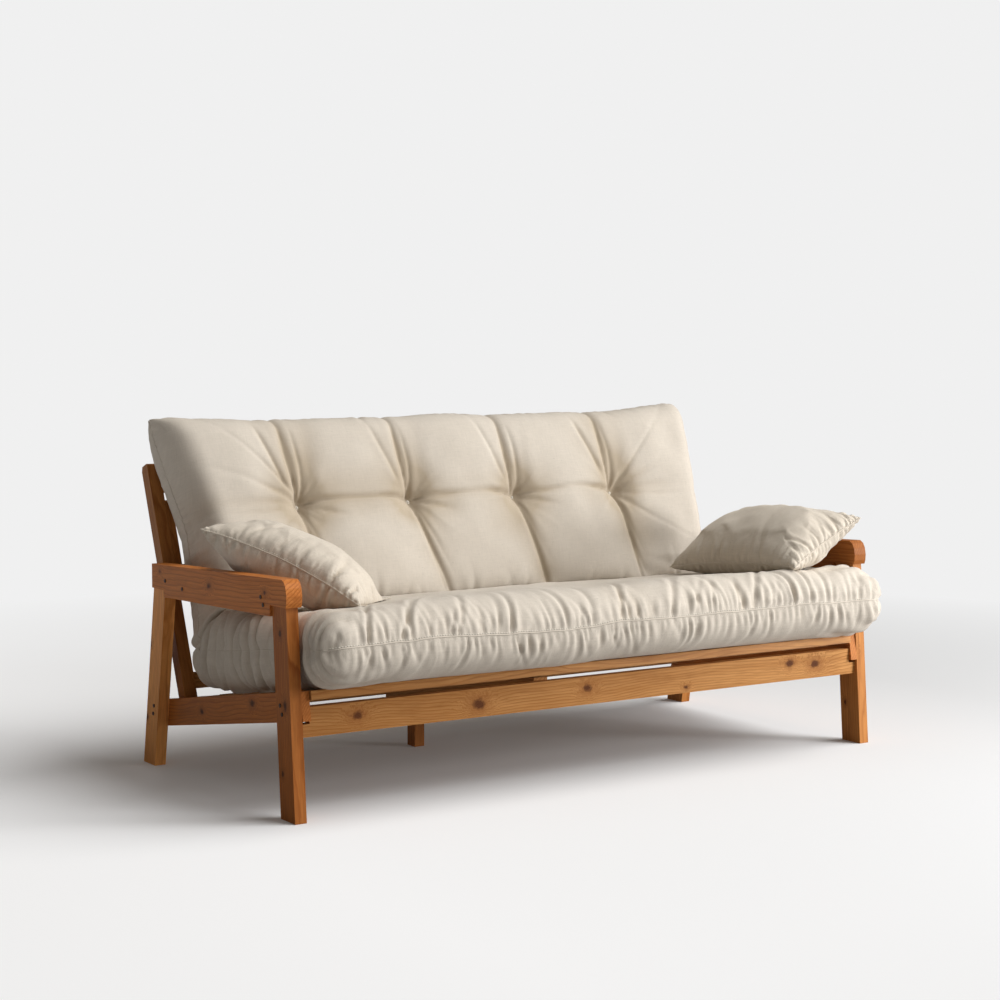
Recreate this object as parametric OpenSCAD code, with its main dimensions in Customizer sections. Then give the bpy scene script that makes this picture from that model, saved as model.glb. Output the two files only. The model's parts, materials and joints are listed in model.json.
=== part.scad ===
// Futon sofa bed: a pine frame with a folding back, one thick tufted futon and two loose pillows.
// X runs along the sofa, Y from front to back, Z up. All sizes are in millimetres.

/* [Overall] */
// distance over the outer faces of the left and right legs
frame_w = 2000; // [1800:10:2200]
// height of the top of the front apron
apron_top = 296; // [280:1:300]
// slope of the seat deck down to the rear, in degrees
seat_tilt = 9.5; // [8:0.5:11]
// lean of the back from upright, in degrees
back_lean = 21; // [18:0.5:24]

/* [Legs and arms] */
// thickness of each leg along the sofa
leg_t = 34; // [30:1:40]
// width of each leg from front to back
leg_w = 80; // [70:1:90]
// height of the front legs, up to the arm
front_leg_h = 556; // [540:1:570]
// height of the rear legs, up to the arm
rear_leg_h = 528; // [515:1:540]
// how far each arm stands out past a leg, on both sides
arm_proud = 6; // [2:1:10]
// depth of the arm board above the front leg
arm_h = 72; // [65:1:80]
// depth of the notch in the arm that lets the leg in
arm_notch = 30; // [20:1:40]

/* [Base rails] */
// height of the front apron board
apron_h = 79; // [60:1:90]
// thickness of the front apron board
apron_t = 24; // [20:1:28]
// depth of each tilted side rail
side_rail_h = 78; // [70:1:86]
// thickness of each side rail
side_rail_t = 24; // [20:1:28]
// section of the rear rail, the centre spine and other square timber
beam = 45; // [38:1:48]
// position of the centre spine and its leg along the sofa
spine_x = -200; // [-300:10:300]

/* [Decks] */
// thickness of the slats
slat_t = 18; // [14:1:20]
// width of the slats
slat_w = 70; // [50:1:90]
// distance between the middles of neighbouring slats
slat_pitch = 180; // [170:1:185]
// thickness of the thin front rail of the seat deck
seat_rail_t = 24; // [24:1:34]
// thickness of each back stile across its lean
stile_t = 44; // [40:1:48]
// width of each back stile along the sofa
stile_w = 39; // [35:1:44]
// length of each back stile above its hinge
stile_l = 736; // [715:1:760]

/* [Hardware] */
// radius of the pivot pins
pin_r = 5; // [4:0.5:6]
// radial running clearance of a pivot pin in the wood it turns in
pin_gap = 0.05; // [0.03:0.01:0.1]
// thickness of the steel hinge plates
plate_t = 3.5; // [3:0.5:4]
// radius of the round screw heads
head_r = 5.5; // [4:0.5:8]

/* [Soft parts] */
// width of the futon
futon_w = 1880; // [1700:10:1880]
// thickness of the seat half at its front
seat_pad_t = 206; // [180:2:220]
// thickness of the futon at its crease
crease_t = 242; // [220:2:260]
// thickness of the back half at its fullest
back_pad_t = 270; // [250:2:290]
// height of the bending line of the futon above the deck
fold_h = 145; // [120:5:170]
// length of each loose pillow
pillow_l = 500; // [440:10:520]
// width of each loose pillow
pillow_w = 320; // [280:10:340]
// thickness of each loose pillow
pillow_t = 150; // [120:5:160]

/* [Hidden] */
$fn = 64;
sides = [-1, 1];
slat_numbers = [1, 2, 3, 4, 5, 6, 7, 8, 9, 10];
middle_slat = 5.5;
skin = 1;

// widths across the sofa, measured from its middle
leg_out = frame_w / 2;
leg_in = leg_out - leg_t;
rail_in = leg_in - side_rail_t;
deck_side = rail_in - 2;
batten_in = deck_side - 40;
stile_in = deck_side - stile_w;
plate_in = batten_in - plate_t;

// hinge line of the back, before the sofa is centred on its footprint
raw_hinge_y = 332;
hinge_z = 184;
deck_top = stile_t / 2;
seat_front_s = -808;

// the sofa is shifted so that the origin is the middle of its footprint
futon_front_s = -926;
futon_front_n = 130;
front_most = raw_hinge_y + futon_front_s * cos(seat_tilt) + futon_front_n * sin(seat_tilt);
rear_most = raw_hinge_y + stile_l * sin(back_lean) + stile_t / 2 * cos(back_lean);
shift_y = -(front_most + rear_most) / 2;
hinge_y = raw_hinge_y + shift_y;

// legs, as front edges at the floor and at the top
front_foot_y = -484 + shift_y;
front_top_y = -442 + shift_y;
rear_foot_y = 404 + shift_y;
rear_top_y = 314 + shift_y;
apron_y = -455 + shift_y;
rear_rail_y = 395 + shift_y;
rear_rail_z = 140;

// seat deck, measured along its slope from the hinge line and up from it
front_rail_w = 60;
slat_front_s = seat_front_s + front_rail_w;
slat_rear_s = -50;
slat_low = deck_top - slat_t;
ledger_t = 10;
ledger_low = slat_low - ledger_t;
ledger_w = 50;
spine_gap = 1;
spine_top = ledger_low - spine_gap;
spine_low = spine_top - beam;
front_pivot_s = seat_front_s + front_rail_w / 2;
front_pivot_drop = 14;
front_pivot_n = deck_top - front_pivot_drop;
pin_bite = 16;

// back deck, measured up along the stiles from the hinge line
stile_tail = 24;
back_rail_w = 45;
back_low_rail_u = 50;
back_top_rail_u = 655;
prop_u = 620;
prop_t = 35;
prop_gap = 3;
prop_w = -deck_top - prop_gap - prop_t / 2;
prop_out = stile_in - 8;
prop_reach = 267;
prop_bar_h = 40;
prop_bar_t = 22;

// futon bending line: half the angle between the seat deck and the back deck
half_fold = (90 + back_lean - seat_tilt) / 2;
fold_n = deck_top + fold_h;
fold_s = fold_n / tan(half_fold);
crease_n = deck_top + crease_t;
crease_s = crease_n / tan(half_fold);
split = 0.8;
lift = 0.8;
tuft_pitch = 385;
tuft_u = 540;
tie_r = 8;
tie_t = 3;

// screw heads on the outer faces of the arms and the legs: height above the floor and distance
arm_screws_at = [[183, 544], [300, 556], [-310, 572], [-324, 552]];
leg_bolts_at = [[-405, 298], [-416, 276], [404, 178], [410, 154]];
head_t = 2;

// Extrudes a profile drawn in Y and Z along X, between two distances from the middle of the sofa.
module along(inner, outer, side) {
    start = side > 0 ? inner : -outer;
    translate([start, 0, 0])
        rotate([90, 0, 90])
            linear_extrude(outer - inner)
                children();
}

// A round bar along X on one side of the sofa.
module cross_pin(inner, outer, side, r) {
    start = side > 0 ? inner : -outer;
    translate([start, 0, 0])
        rotate([0, 90, 0])
            cylinder(r = r, h = outer - inner);
}

// A board across the whole sofa, from low to high in Y and in Z.
module across(half, y, z) {
    translate([-half, y[0], z[0]])
        cube([2 * half, y[1] - y[0], z[1] - z[0]]);
}

// Local frame of the seat deck: Y runs down its slope to the rear, Z is square to it.
module seat_frame() {
    translate([0, hinge_y, hinge_z])
        rotate([-seat_tilt, 0, 0])
            children();
}

// Local frame of the back deck: Z runs up the stiles, Y points out of the back of the sofa.
module back_frame() {
    translate([0, hinge_y, hinge_z])
        rotate([-back_lean, 0, 0])
            children();
}

module leg(side, foot_y, top_y, high) {
    color("peru")
        along(leg_in, leg_out, side)
            polygon([[foot_y, 0], [foot_y + leg_w, 0], [top_y + leg_w, high], [top_y, high]]);
}

module arm(side) {
    nose_y = front_top_y - 13;
    top_front = front_leg_h + arm_h;
    rear_end = rear_top_y + leg_w;
    top_rear = rear_leg_h + arm_h - 2;
    color("peru")
        along(leg_in - arm_proud, leg_out + arm_proud, side)
            polygon([
                [nose_y + 4, front_leg_h],
                [nose_y, front_leg_h + 12],
                [nose_y - 1, front_leg_h + 30],
                [nose_y + 3, front_leg_h + 50],
                [nose_y + 11, front_leg_h + 64],
                [nose_y + 24, top_front],
                [rear_end, top_rear],
                [rear_end, rear_leg_h],
                [rear_top_y - skin, rear_leg_h],
                [rear_top_y - skin, rear_leg_h - arm_notch + 10],
                [front_top_y + leg_w + skin, front_leg_h - arm_notch],
                [front_top_y + leg_w + skin, front_leg_h],
            ]);
}

module side_rail(side) {
    color("peru")
        difference() {
            seat_frame()
                along(rail_in, leg_in, side)
                    polygon([
                        [seat_front_s + 8, deck_top - side_rail_h],
                        [110, deck_top - side_rail_h],
                        [100, deck_top],
                        [seat_front_s + 8, deck_top],
                    ]);
            seat_frame()
                translate([0, front_pivot_s, front_pivot_n])
                    cross_pin(rail_in - skin, leg_in + skin, side, pin_r);
        }
}

module front_apron() {
    corner_low = apron_top - apron_h * 0.56;
    color("peru")
        difference() {
            across(leg_in, [apron_y, apron_y + apron_t], [apron_top - apron_h, apron_top]);
            for (side = sides)
                along(rail_in - skin, leg_in + skin, side)
                    polygon([
                        [apron_y - skin, corner_low],
                        [apron_y + apron_t + skin, corner_low],
                        [apron_y + apron_t + skin, apron_top + skin],
                        [apron_y - skin, apron_top + skin],
                    ]);
        }
}

module rear_rail() {
    color("peru")
        across(rail_in, [rear_rail_y, rear_rail_y + 40], [rear_rail_z, rear_rail_z + beam]);
}

// Height of a plane of the seat deck above the floor, at one place from front to back.
function deck_z(y, n) = hinge_z - (y - hinge_y) * tan(seat_tilt) + n / cos(seat_tilt);

module centre_spine() {
    front = apron_y + apron_t;
    color("peru")
        translate([spine_x - beam / 2, 0, 0])
            along(0, beam, 1)
                polygon([
                    [front, deck_z(front, spine_low)],
                    [rear_rail_y, deck_z(rear_rail_y, spine_low)],
                    [rear_rail_y, deck_z(rear_rail_y, spine_top)],
                    [front, deck_z(front, spine_top)],
                ]);
}

module centre_leg() {
    foot = [228 + shift_y, 272 + shift_y];
    color("peru")
        translate([spine_x - leg_t / 2, 0, 0])
            along(0, leg_t, 1)
                polygon([
                    [foot[0], 0],
                    [foot[1], 0],
                    [foot[1], deck_z(foot[1], spine_low)],
                    [foot[0], deck_z(foot[0], spine_low)],
                ]);
}

module arm_screws() {
    outer = leg_out + arm_proud;
    color("dimgray")
        for (side = sides, at = arm_screws_at)
            translate([0, at[0] + shift_y, at[1]])
                cross_pin(outer, outer + head_t, side, head_r);
}

module leg_bolts() {
    color("dimgray")
        for (side = sides, at = leg_bolts_at)
            translate([0, at[0] + shift_y, at[1]])
                cross_pin(leg_out, leg_out + head_t, side, head_r);
}

module seat_pivot_pins() {
    color("silver")
        for (side = sides)
            seat_frame()
                translate([0, front_pivot_s, front_pivot_n])
                    cross_pin(deck_side - pin_bite + skin, leg_in, side, pin_r);
}

module seat_front_rail() {
    color("burlywood")
        difference() {
            seat_frame()
                across(deck_side, [seat_front_s, slat_front_s], [deck_top - seat_rail_t, deck_top]);
            for (side = sides)
                seat_frame()
                    translate([0, front_pivot_s, front_pivot_n])
                        cross_pin(deck_side - pin_bite, deck_side + skin, side, pin_r + pin_gap);
        }
}

module seat_batten(side) {
    color("burlywood")
        seat_frame()
            along(batten_in, deck_side, side)
                polygon([
                    [slat_front_s, ledger_low],
                    [slat_rear_s, ledger_low],
                    [slat_rear_s, deck_top],
                    [slat_front_s, deck_top],
                ]);
}

module seat_front_ledger() {
    color("burlywood")
        seat_frame()
            across(batten_in, [slat_front_s, slat_front_s + ledger_w], [ledger_low, slat_low]);
}

module seat_rear_ledger() {
    color("burlywood")
        seat_frame()
            across(plate_in, [slat_rear_s - ledger_w, slat_rear_s], [ledger_low, slat_low]);
}

module seat_slat(number) {
    color("burlywood")
        seat_frame()
            translate([(number - middle_slat) * slat_pitch, 0, 0])
                across(slat_w / 2, [slat_front_s, slat_rear_s], [slat_low, deck_top]);
}

module hinge_plate(side) {
    disc_r = 20;
    color("silver")
        seat_frame()
            difference() {
                union() {
                    along(plate_in, batten_in, side)
                        polygon([[-170, -14], [0, -14], [0, 14], [-170, 14]]);
                    cross_pin(plate_in, batten_in, side, disc_r);
                }
                cross_pin(plate_in - skin, batten_in + skin, side, pin_r);
            }
}

module back_pivot_pins() {
    pin_end = stile_in + 30;
    color("silver")
        for (side = sides)
            seat_frame()
                union() {
                    cross_pin(plate_in, pin_end, side, pin_r);
                    cross_pin(plate_in - 4, plate_in, side, 2 * pin_r);
                }
}

module futon_seat() {
    color("antiquewhite")
        seat_frame()
            along(-futon_w / 2, futon_w / 2, 1)
                polygon([
                    [-fold_s - split, deck_top],
                    [-fold_s - split, fold_n],
                    [-crease_s - split, crease_n],
                    [-crease_s - 60, crease_n - 2],
                    [-780, deck_top + seat_pad_t],
                    [-850, deck_top + seat_pad_t - 6],
                    [-890, deck_top + seat_pad_t - 24],
                    [futon_front_s + 11, futon_front_n + 42],
                    [futon_front_s, futon_front_n],
                    [futon_front_s + 8, 85],
                    [-890, 44],
                    [-850, deck_top],
                ]);
}

module stile(side) {
    bore_end = stile_in + 32;
    color("peru")
        back_frame()
            difference() {
                along(stile_in, deck_side, side)
                    polygon([
                        [-stile_t / 2, -stile_tail],
                        [stile_t / 2, -stile_tail],
                        [stile_t / 2, stile_l - 14],
                        [stile_t / 2 - 8, stile_l],
                        [-stile_t / 2 + 4, stile_l],
                        [-stile_t / 2, stile_l - 5],
                    ]);
                cross_pin(stile_in - skin, bore_end, side, pin_r + pin_gap);
            }
}

module back_rail(u) {
    color("burlywood")
        back_frame()
            across(stile_in, [-slat_low, stile_t / 2], [u, u + back_rail_w]);
}

module back_slat(number) {
    color("burlywood")
        back_frame()
            translate([(number - middle_slat) * slat_pitch, 0, 0])
                across(
                    slat_w / 2,
                    [-deck_top, -slat_low],
                    [back_low_rail_u, back_top_rail_u + back_rail_w]
                );
}

module prop_brackets() {
    color("silver")
        back_frame()
            for (side = sides)
                along(stile_in - plate_t, stile_in, side)
                    polygon([
                        [-10, prop_u - 18],
                        [-prop_w + 12, prop_u - 18],
                        [-prop_w + 12, prop_u + 14],
                        [-10, prop_u + 18],
                    ]);
}

module prop_pins() {
    color("silver")
        back_frame()
            translate([0, -prop_w, prop_u])
                for (side = sides)
                    union() {
                        cross_pin(prop_out - prop_t - 2, stile_in - plate_t, side, pin_r);
                        cross_pin(prop_out - prop_t - 5, prop_out - prop_t - 2, side, 2 * pin_r);
                    }
}

module prop_leg(side) {
    color("peru")
        back_frame()
            translate([0, -prop_w, prop_u])
                difference() {
                    union() {
                        cross_pin(prop_out - prop_t, prop_out, side, prop_t / 2);
                        along(prop_out - prop_t, prop_out, side)
                            polygon([
                                [-prop_t / 2, -prop_reach],
                                [prop_t / 2, -prop_reach],
                                [prop_t / 2, 0],
                                [-prop_t / 2, 0],
                            ]);
                    }
                    cross_pin(prop_out - prop_t - skin, prop_out + skin, side, pin_r + pin_gap);
                }
}

module prop_bar() {
    low = prop_u - prop_reach + prop_bar_h;
    color("peru")
        back_frame()
            across(
                prop_out - prop_t,
                [-prop_w - prop_bar_t / 2, -prop_w + prop_bar_t / 2],
                [low, low + prop_bar_h]
            );
}

module futon_back() {
    full = deck_top + back_pad_t;
    color("antiquewhite")
        back_frame()
            along(-futon_w / 2, futon_w / 2, 1)
                polygon([
                    [-deck_top - lift, fold_s + split],
                    [-deck_top - lift, 745],
                    [-48, 800],
                    [-85, 836],
                    [-142, 848],
                    [-full + 80, 826],
                    [-full + 30, 786],
                    [-full + 6, 730],
                    [-full, 640],
                    [-full, 480],
                    [-crease_n - 8, 300],
                    [-crease_n, crease_s + split],
                    [-fold_n, fold_s + split],
                ]);
}

module tuft_ties() {
    full = deck_top + back_pad_t;
    color("tan")
        back_frame()
            for (step = [-1.5, -0.5, 0.5, 1.5])
                translate([step * tuft_pitch, -full, tuft_u])
                    rotate([90, 0, 0])
                        cylinder(r = tie_r, h = tie_t);
}

// Lens-shaped section of a pillow, thin at both ends.
module pillow_section(wide) {
    half = wide / 2;
    full = pillow_t / 2;
    polygon([
        [-half, -full * 0.15],
        [-half * 0.75, -full * 0.6],
        [-half * 0.35, -full * 0.92],
        [half * 0.35, -full * 0.92],
        [half * 0.75, -full * 0.6],
        [half, -full * 0.15],
        [half, full * 0.15],
        [half * 0.75, full * 0.6],
        [half * 0.35, full * 0.92],
        [-half * 0.35, full * 0.92],
        [-half * 0.75, full * 0.6],
        [-half, full * 0.15],
    ]);
}

// One pillow, thin along all four edges, with its middle at the origin.
module pillow_body() {
    color("antiquewhite")
        intersection() {
            along(-pillow_l / 2, pillow_l / 2, 1)
                pillow_section(pillow_w);
            rotate([0, 0, 90])
                along(-pillow_w / 2, pillow_w / 2, 1)
                    pillow_section(pillow_l);
        }
}

module pillow_left() {
    translate([-728, -100 + shift_y, 640])
        rotate([0, 0, -52])
            rotate([0, 19, 0])
                rotate([-4, 0, 0])
                    pillow_body();
}

module pillow_right() {
    translate([788, -228 + shift_y, 640])
        rotate([0, 0, -83])
            rotate([0, -4, 0])
                rotate([28, 0, 0])
                    pillow_body();
}

leg(-1, front_foot_y, front_top_y, front_leg_h);  // leg_front_left
leg(1, front_foot_y, front_top_y, front_leg_h);  // leg_front_right
leg(-1, rear_foot_y, rear_top_y, rear_leg_h);  // leg_rear_left
leg(1, rear_foot_y, rear_top_y, rear_leg_h);  // leg_rear_right
arm(-1);  // arm_left
arm(1);  // arm_right
side_rail(-1);  // side_rail_left
side_rail(1);  // side_rail_right
front_apron();
rear_rail();
centre_spine();
centre_leg();
arm_screws();
leg_bolts();
seat_pivot_pins();
seat_front_rail();
seat_batten(-1);  // seat_batten_left
seat_batten(1);  // seat_batten_right
seat_front_ledger();
seat_rear_ledger();
for (number = slat_numbers)
    seat_slat(number);
hinge_plate(-1);  // hinge_plate_left
hinge_plate(1);  // hinge_plate_right
back_pivot_pins();
futon_seat();
stile(-1);  // stile_left
stile(1);  // stile_right
back_rail(back_low_rail_u);  // back_low_rail
back_rail(back_top_rail_u);  // back_top_rail
for (number = slat_numbers)
    back_slat(number);
prop_brackets();
prop_pins();
prop_leg(-1);  // prop_leg_left
prop_leg(1);  // prop_leg_right
prop_bar();
futon_back();
tuft_ties();
pillow_left();
pillow_right();
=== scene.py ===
import json
import math

import bmesh
import bpy
import numpy as np
from mathutils import Matrix, Vector


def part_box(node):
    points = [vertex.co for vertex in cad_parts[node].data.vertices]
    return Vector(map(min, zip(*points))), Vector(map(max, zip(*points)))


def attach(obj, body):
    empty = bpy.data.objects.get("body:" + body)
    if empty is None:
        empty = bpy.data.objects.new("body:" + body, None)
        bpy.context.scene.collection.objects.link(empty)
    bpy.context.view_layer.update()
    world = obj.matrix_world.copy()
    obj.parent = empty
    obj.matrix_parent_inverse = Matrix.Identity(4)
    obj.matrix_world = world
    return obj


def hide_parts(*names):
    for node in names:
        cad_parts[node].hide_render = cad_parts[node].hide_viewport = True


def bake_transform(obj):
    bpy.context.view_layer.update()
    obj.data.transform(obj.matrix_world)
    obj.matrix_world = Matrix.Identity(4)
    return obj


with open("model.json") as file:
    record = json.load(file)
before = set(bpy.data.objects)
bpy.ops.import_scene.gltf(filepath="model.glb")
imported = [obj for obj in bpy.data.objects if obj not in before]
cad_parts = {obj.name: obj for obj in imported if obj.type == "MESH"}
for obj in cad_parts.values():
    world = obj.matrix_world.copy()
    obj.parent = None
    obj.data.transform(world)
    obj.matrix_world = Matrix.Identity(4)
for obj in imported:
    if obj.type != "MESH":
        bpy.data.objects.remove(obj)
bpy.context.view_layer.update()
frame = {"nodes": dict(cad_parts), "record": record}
record = frame["record"]
scene = bpy.context.scene

# ---- frame facts
joints = {j["name"]: j for j in record["behaviour"]["joints"]}
HINGE = np.array(joints["back_fold"]["pos_m"][1:])
TILT = joints["seat_level"]["range_deg"][1]
LEAN = 90 + TILT - joints["back_fold"]["range_deg"][1]
tilt, lean = math.radians(TILT), math.radians(LEAN)
SEAT_S = np.array([math.cos(tilt), -math.sin(tilt)])
SEAT_N = np.array([math.sin(tilt), math.cos(tilt)])
BACK_U = np.array([math.sin(lean), math.cos(lean)])
BACK_W = np.array([-math.cos(lean), math.sin(lean)])
FOLD_UP = (BACK_U - SEAT_S) / np.linalg.norm(BACK_U - SEAT_S)


def deck(s, n):
    """A point of the seat half in Y and Z, from its place along the deck and above it."""
    return HINGE + s * SEAT_S + n * SEAT_N


def back(u, w):
    """A point of the back half in Y and Z, from its height up the stiles and its place before them."""
    return HINGE + u * BACK_U + w * BACK_W


# ---- noise
TABLES = {}


def table_of(seed):
    if seed not in TABLES:
        TABLES[seed] = np.random.RandomState(seed).uniform(-1, 1, (256, 256))
    return TABLES[seed]


def smooth(t):
    return t * t * (3 - 2 * t)


def ease(value, over):
    """0 below 0 and 1 above the distance over, with a soft start and end."""
    return smooth(np.clip(value / over, 0, 1))


def bell(x):
    return np.exp(-(x**2))


def noise(x, y, seed):
    """Smooth noise from -1 to 1 with a grain of one unit."""
    t = table_of(seed)
    x, y = np.broadcast_arrays(np.asarray(x, float), np.asarray(y, float))
    ix, iy = np.floor(x).astype(int), np.floor(y).astype(int)
    fx, fy = smooth(x - ix), smooth(y - iy)
    a, b = t[ix % 256, iy % 256], t[(ix + 1) % 256, iy % 256]
    c, d = t[ix % 256, (iy + 1) % 256], t[(ix + 1) % 256, (iy + 1) % 256]
    return (a * (1 - fx) + b * fx) * (1 - fy) + (c * (1 - fx) + d * fx) * fy


def ridge(v):
    """Rounded folds with narrow valleys, from -1 to 1."""
    return 1 - 2 * np.abs(v) ** 0.8


def gathers(along, away, seed, pitch, reach, lean_by):
    """Pleats that run away from a seam: along is the place on the seam, away the distance from it."""
    drift = along + lean_by * away + 0.010 * noise(along / 0.07, away / 0.05, seed)
    length = reach * (1.0 + 0.75 * noise(along / 0.055, 3.3, seed + 1))
    broad = ridge(noise(drift / pitch, away / 0.22, seed + 2))
    fine = ridge(noise(drift / (pitch * 0.5), away / 0.09, seed + 3))
    rise = 1 - np.exp(-away / 0.008)
    return rise * (broad * np.exp(-away / length) + 0.40 * fine * np.exp(-away / (length * 0.45)))


def crease_marks(seed, start, stop, pitch, reach, depth, width, lean_by):
    """Single sharp folds along a seam: place, reach, depth, width, slope and bow of each."""
    rng = np.random.RandomState(seed)
    marks = []
    at = start
    while at < stop:
        strength = rng.uniform(0.35, 1.0) ** 1.3
        marks.append((
            at, reach * rng.uniform(0.45, 1.0) * (0.5 + strength), depth * strength,
            width * rng.uniform(0.75, 1.35), rng.normal(lean_by, 0.22), rng.normal(0, 1.6),
        ))
        at += pitch * rng.uniform(0.45, 1.55)
    return marks


def draw_creases(along, away, marks, mirror=1.0):
    """The marks as heights: a sharp valley for each fold, with a soft lip on either side."""
    out = np.zeros(np.broadcast(along, away).shape)
    along, away = np.broadcast_to(along, out.shape), np.broadcast_to(away, out.shape)
    for at, reach, depth, width, slope, bow in marks:
        near = (away < 2.3 * reach) & (np.abs(along - at) < 0.05 + 1.2 * abs(slope) * reach + 3 * width)
        if not near.any():
            continue
        a = away[near]
        gap = np.abs(along[near] - at - mirror * slope * a - bow * a * a)
        wide = width * (1 + 0.9 * a / reach)
        fade = bell(a / reach)
        lip = 0.50 * bell((gap - 2.1 * wide) / (1.3 * wide))
        out[near] += depth * fade * (lip - np.exp(-((gap / wide) ** 1.4)))
    return out


# ---- futon
HALF_W = 0.950
EDGE = 0.090
TUFT_PITCH = 0.385
TUFTS = [TUFT_PITCH * k for k in (-1.5, -0.5, 0.5, 1.5)]
TUFT_U = 0.515
FAR = 9.0
WELT_R = 0.0016


def hermite(knots, points, t):
    """A smooth curve through points, at values t."""
    knots, points = np.asarray(knots, float), np.asarray(points, float)
    slope = np.gradient(points, knots, axis=0)
    i = np.clip(np.searchsorted(knots, t, side="right") - 1, 0, len(knots) - 2)
    h = (knots[i + 1] - knots[i])[:, None]
    f = (t - knots[i])[:, None] / h
    a, b = points[i], points[i + 1]
    ma, mb = slope[i] * h, slope[i + 1] * h
    f2, f3 = f * f, f * f * f
    return (2 * f3 - 3 * f2 + 1) * a + (f3 - 2 * f2 + f) * ma + (-2 * f3 + 3 * f2) * b + (f3 - f2) * mb


# the section at stations from the front of the seat to the top of the back: place and height of the top
# and of the bottom, as deck() and back() take them, with the crease between the two halves
crease_top = HINGE + 0.330 * FOLD_UP
crease_low = HINGE + 0.074 * FOLD_UP
SEAT_STATIONS = (
    (-0.930, 0.214, -0.930, 0.030),
    (-0.860, 0.232, -0.860, 0.024),
    (-0.700, 0.244, -0.700, 0.024),
    (-0.450, 0.258, -0.450, 0.024),
    (-0.320, 0.266, -0.290, 0.025),
    (-0.262, 0.266, -0.205, 0.030),
    (-0.226, 0.262, -0.150, 0.042),
)
BACK_STATIONS = (
    (0.226, 0.262, 0.150, 0.042),
    (0.262, 0.270, 0.205, 0.030),
    (0.330, 0.276, 0.290, 0.025),
    (0.460, 0.288, 0.460, 0.024),
    (0.620, 0.290, 0.620, 0.024),
    (0.760, 0.270, 0.760, 0.026),
    (0.845, 0.246, 0.845, 0.050),
)
tops = [deck(*s[:2]) for s in SEAT_STATIONS] + [crease_top] + [back(*s[:2]) for s in BACK_STATIONS]
lows = [deck(*s[2:]) for s in SEAT_STATIONS] + [crease_low] + [back(*s[2:]) for s in BACK_STATIONS]
tops, lows = np.array(tops), np.array(lows)
mids = (tops + lows) / 2
knots = np.concatenate([[0], np.cumsum(np.linalg.norm(np.diff(mids, axis=0), axis=1))])
fold = len(SEAT_STATIONS)
LENGTH = knots[-1]
FOLD_T = knots[fold]


def section(t):
    """Top and bottom of the futon's long section, at places t along its middle."""
    t = np.asarray(t, float)
    top = np.empty((len(t), 2))
    seat = t <= FOLD_T
    top[seat] = hermite(knots[: fold + 1], tops[: fold + 1], t[seat])
    top[~seat] = hermite(knots[fold:], tops[fold:], t[~seat])
    low = hermite(knots, lows, t)
    return top, low


def u_to_t(u):
    """Place along the futon's middle for a height u up the back."""
    grid = np.linspace(FOLD_T, LENGTH, 400)
    top, _ = section(grid)
    height = (top - HINGE) @ BACK_U
    return float(np.interp(u, height, grid))


TUFT_T = u_to_t(TUFT_U)


def spread(length, edge, step, steps_round):
    """Grid lines over one direction: base, share of the rounding, side, and distance to the seam of each."""
    angle = np.linspace(0, math.pi / 2, steps_round)[:-1]
    turn = len(angle)
    count = int(round((length - 2 * edge) / step))
    inner = np.linspace(edge, length - edge, count)
    base = np.concatenate([np.full(turn, edge), inner, np.full(turn, length - edge)])
    share = np.concatenate([np.cos(angle), np.zeros(count), np.cos(angle)[::-1]])
    side = np.concatenate([-np.ones(turn), np.zeros(count), np.ones(turn)])
    middle = edge * math.pi / 2 + np.minimum(inner - edge, length - edge - inner)
    away = np.concatenate([edge * angle, middle, (edge * angle)[::-1]])
    return base, share, side, away


def add_object(name, mesh):
    """Puts a mesh into the scene, shaded smooth."""
    mesh.polygons.foreach_set("use_smooth", np.ones(len(mesh.polygons), bool))
    obj = bpy.data.objects.new(name, mesh)
    scene.collection.objects.link(obj)
    return obj


def mesh_object(name, points, faces):
    mesh = bpy.data.meshes.new(name)
    mesh.from_pydata([tuple(p) for p in points], [], [tuple(f) for f in faces])
    mesh.validate()
    mesh.update()
    return add_object(name, mesh)


def object_from(bm, name):
    mesh = bpy.data.meshes.new(name)
    bm.to_mesh(mesh)
    bm.free()
    return add_object(name, mesh)


def two_sheets(rows, cols):
    """Faces of two grids sewn along their rim, and which point of the second grid is which vertex."""
    first = np.arange(rows * cols).reshape(rows, cols)
    second = np.full((rows, cols), -1)
    rim = np.zeros((rows, cols), bool)
    rim[0], rim[-1], rim[:, 0], rim[:, -1] = True, True, True, True
    second[rim] = first[rim]
    second[~rim] = rows * cols + np.arange((~rim).sum())
    quads = []
    for grid, flip in ((first, False), (second, True)):
        a, b = grid[:-1, :-1].ravel(), grid[1:, :-1].ravel()
        c, d = grid[1:, 1:].ravel(), grid[:-1, 1:].ravel()
        quads.append(np.stack([a, d, c, b] if not flip else [a, b, c, d], axis=1))
    return first, second, rim, np.concatenate(quads)


def on_sheets(sheets, upper, lower):
    """The values of two sewn sheets in the order of the mesh's points. The first sheet has the rim."""
    first, second, rim = sheets
    values = np.zeros((second.max() + 1, *upper.shape[2:]))
    values[first] = upper
    values[second[~rim]] = lower[~rim]
    return values


def read(rows, field="co"):
    out = np.empty(len(rows) * 3)
    rows.foreach_get(field, out)
    return out.reshape(-1, 3)


def normals_of(obj):
    return read(obj.data.vertex_normals, "vector")


def set_coords(obj, co):
    obj.data.vertices.foreach_set("co", np.asarray(co, np.float32).ravel())
    obj.data.update()


def point_attribute(obj, name, values):
    """Stores a number or a vector for each point, which the cloth's shader reads."""
    values = np.asarray(values, np.float32)
    kind, field = ("FLOAT_VECTOR", "vector") if values.ndim > 1 else ("FLOAT", "value")
    obj.data.attributes.new(name, kind, "POINT").data.foreach_set(field, values.ravel())


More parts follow.
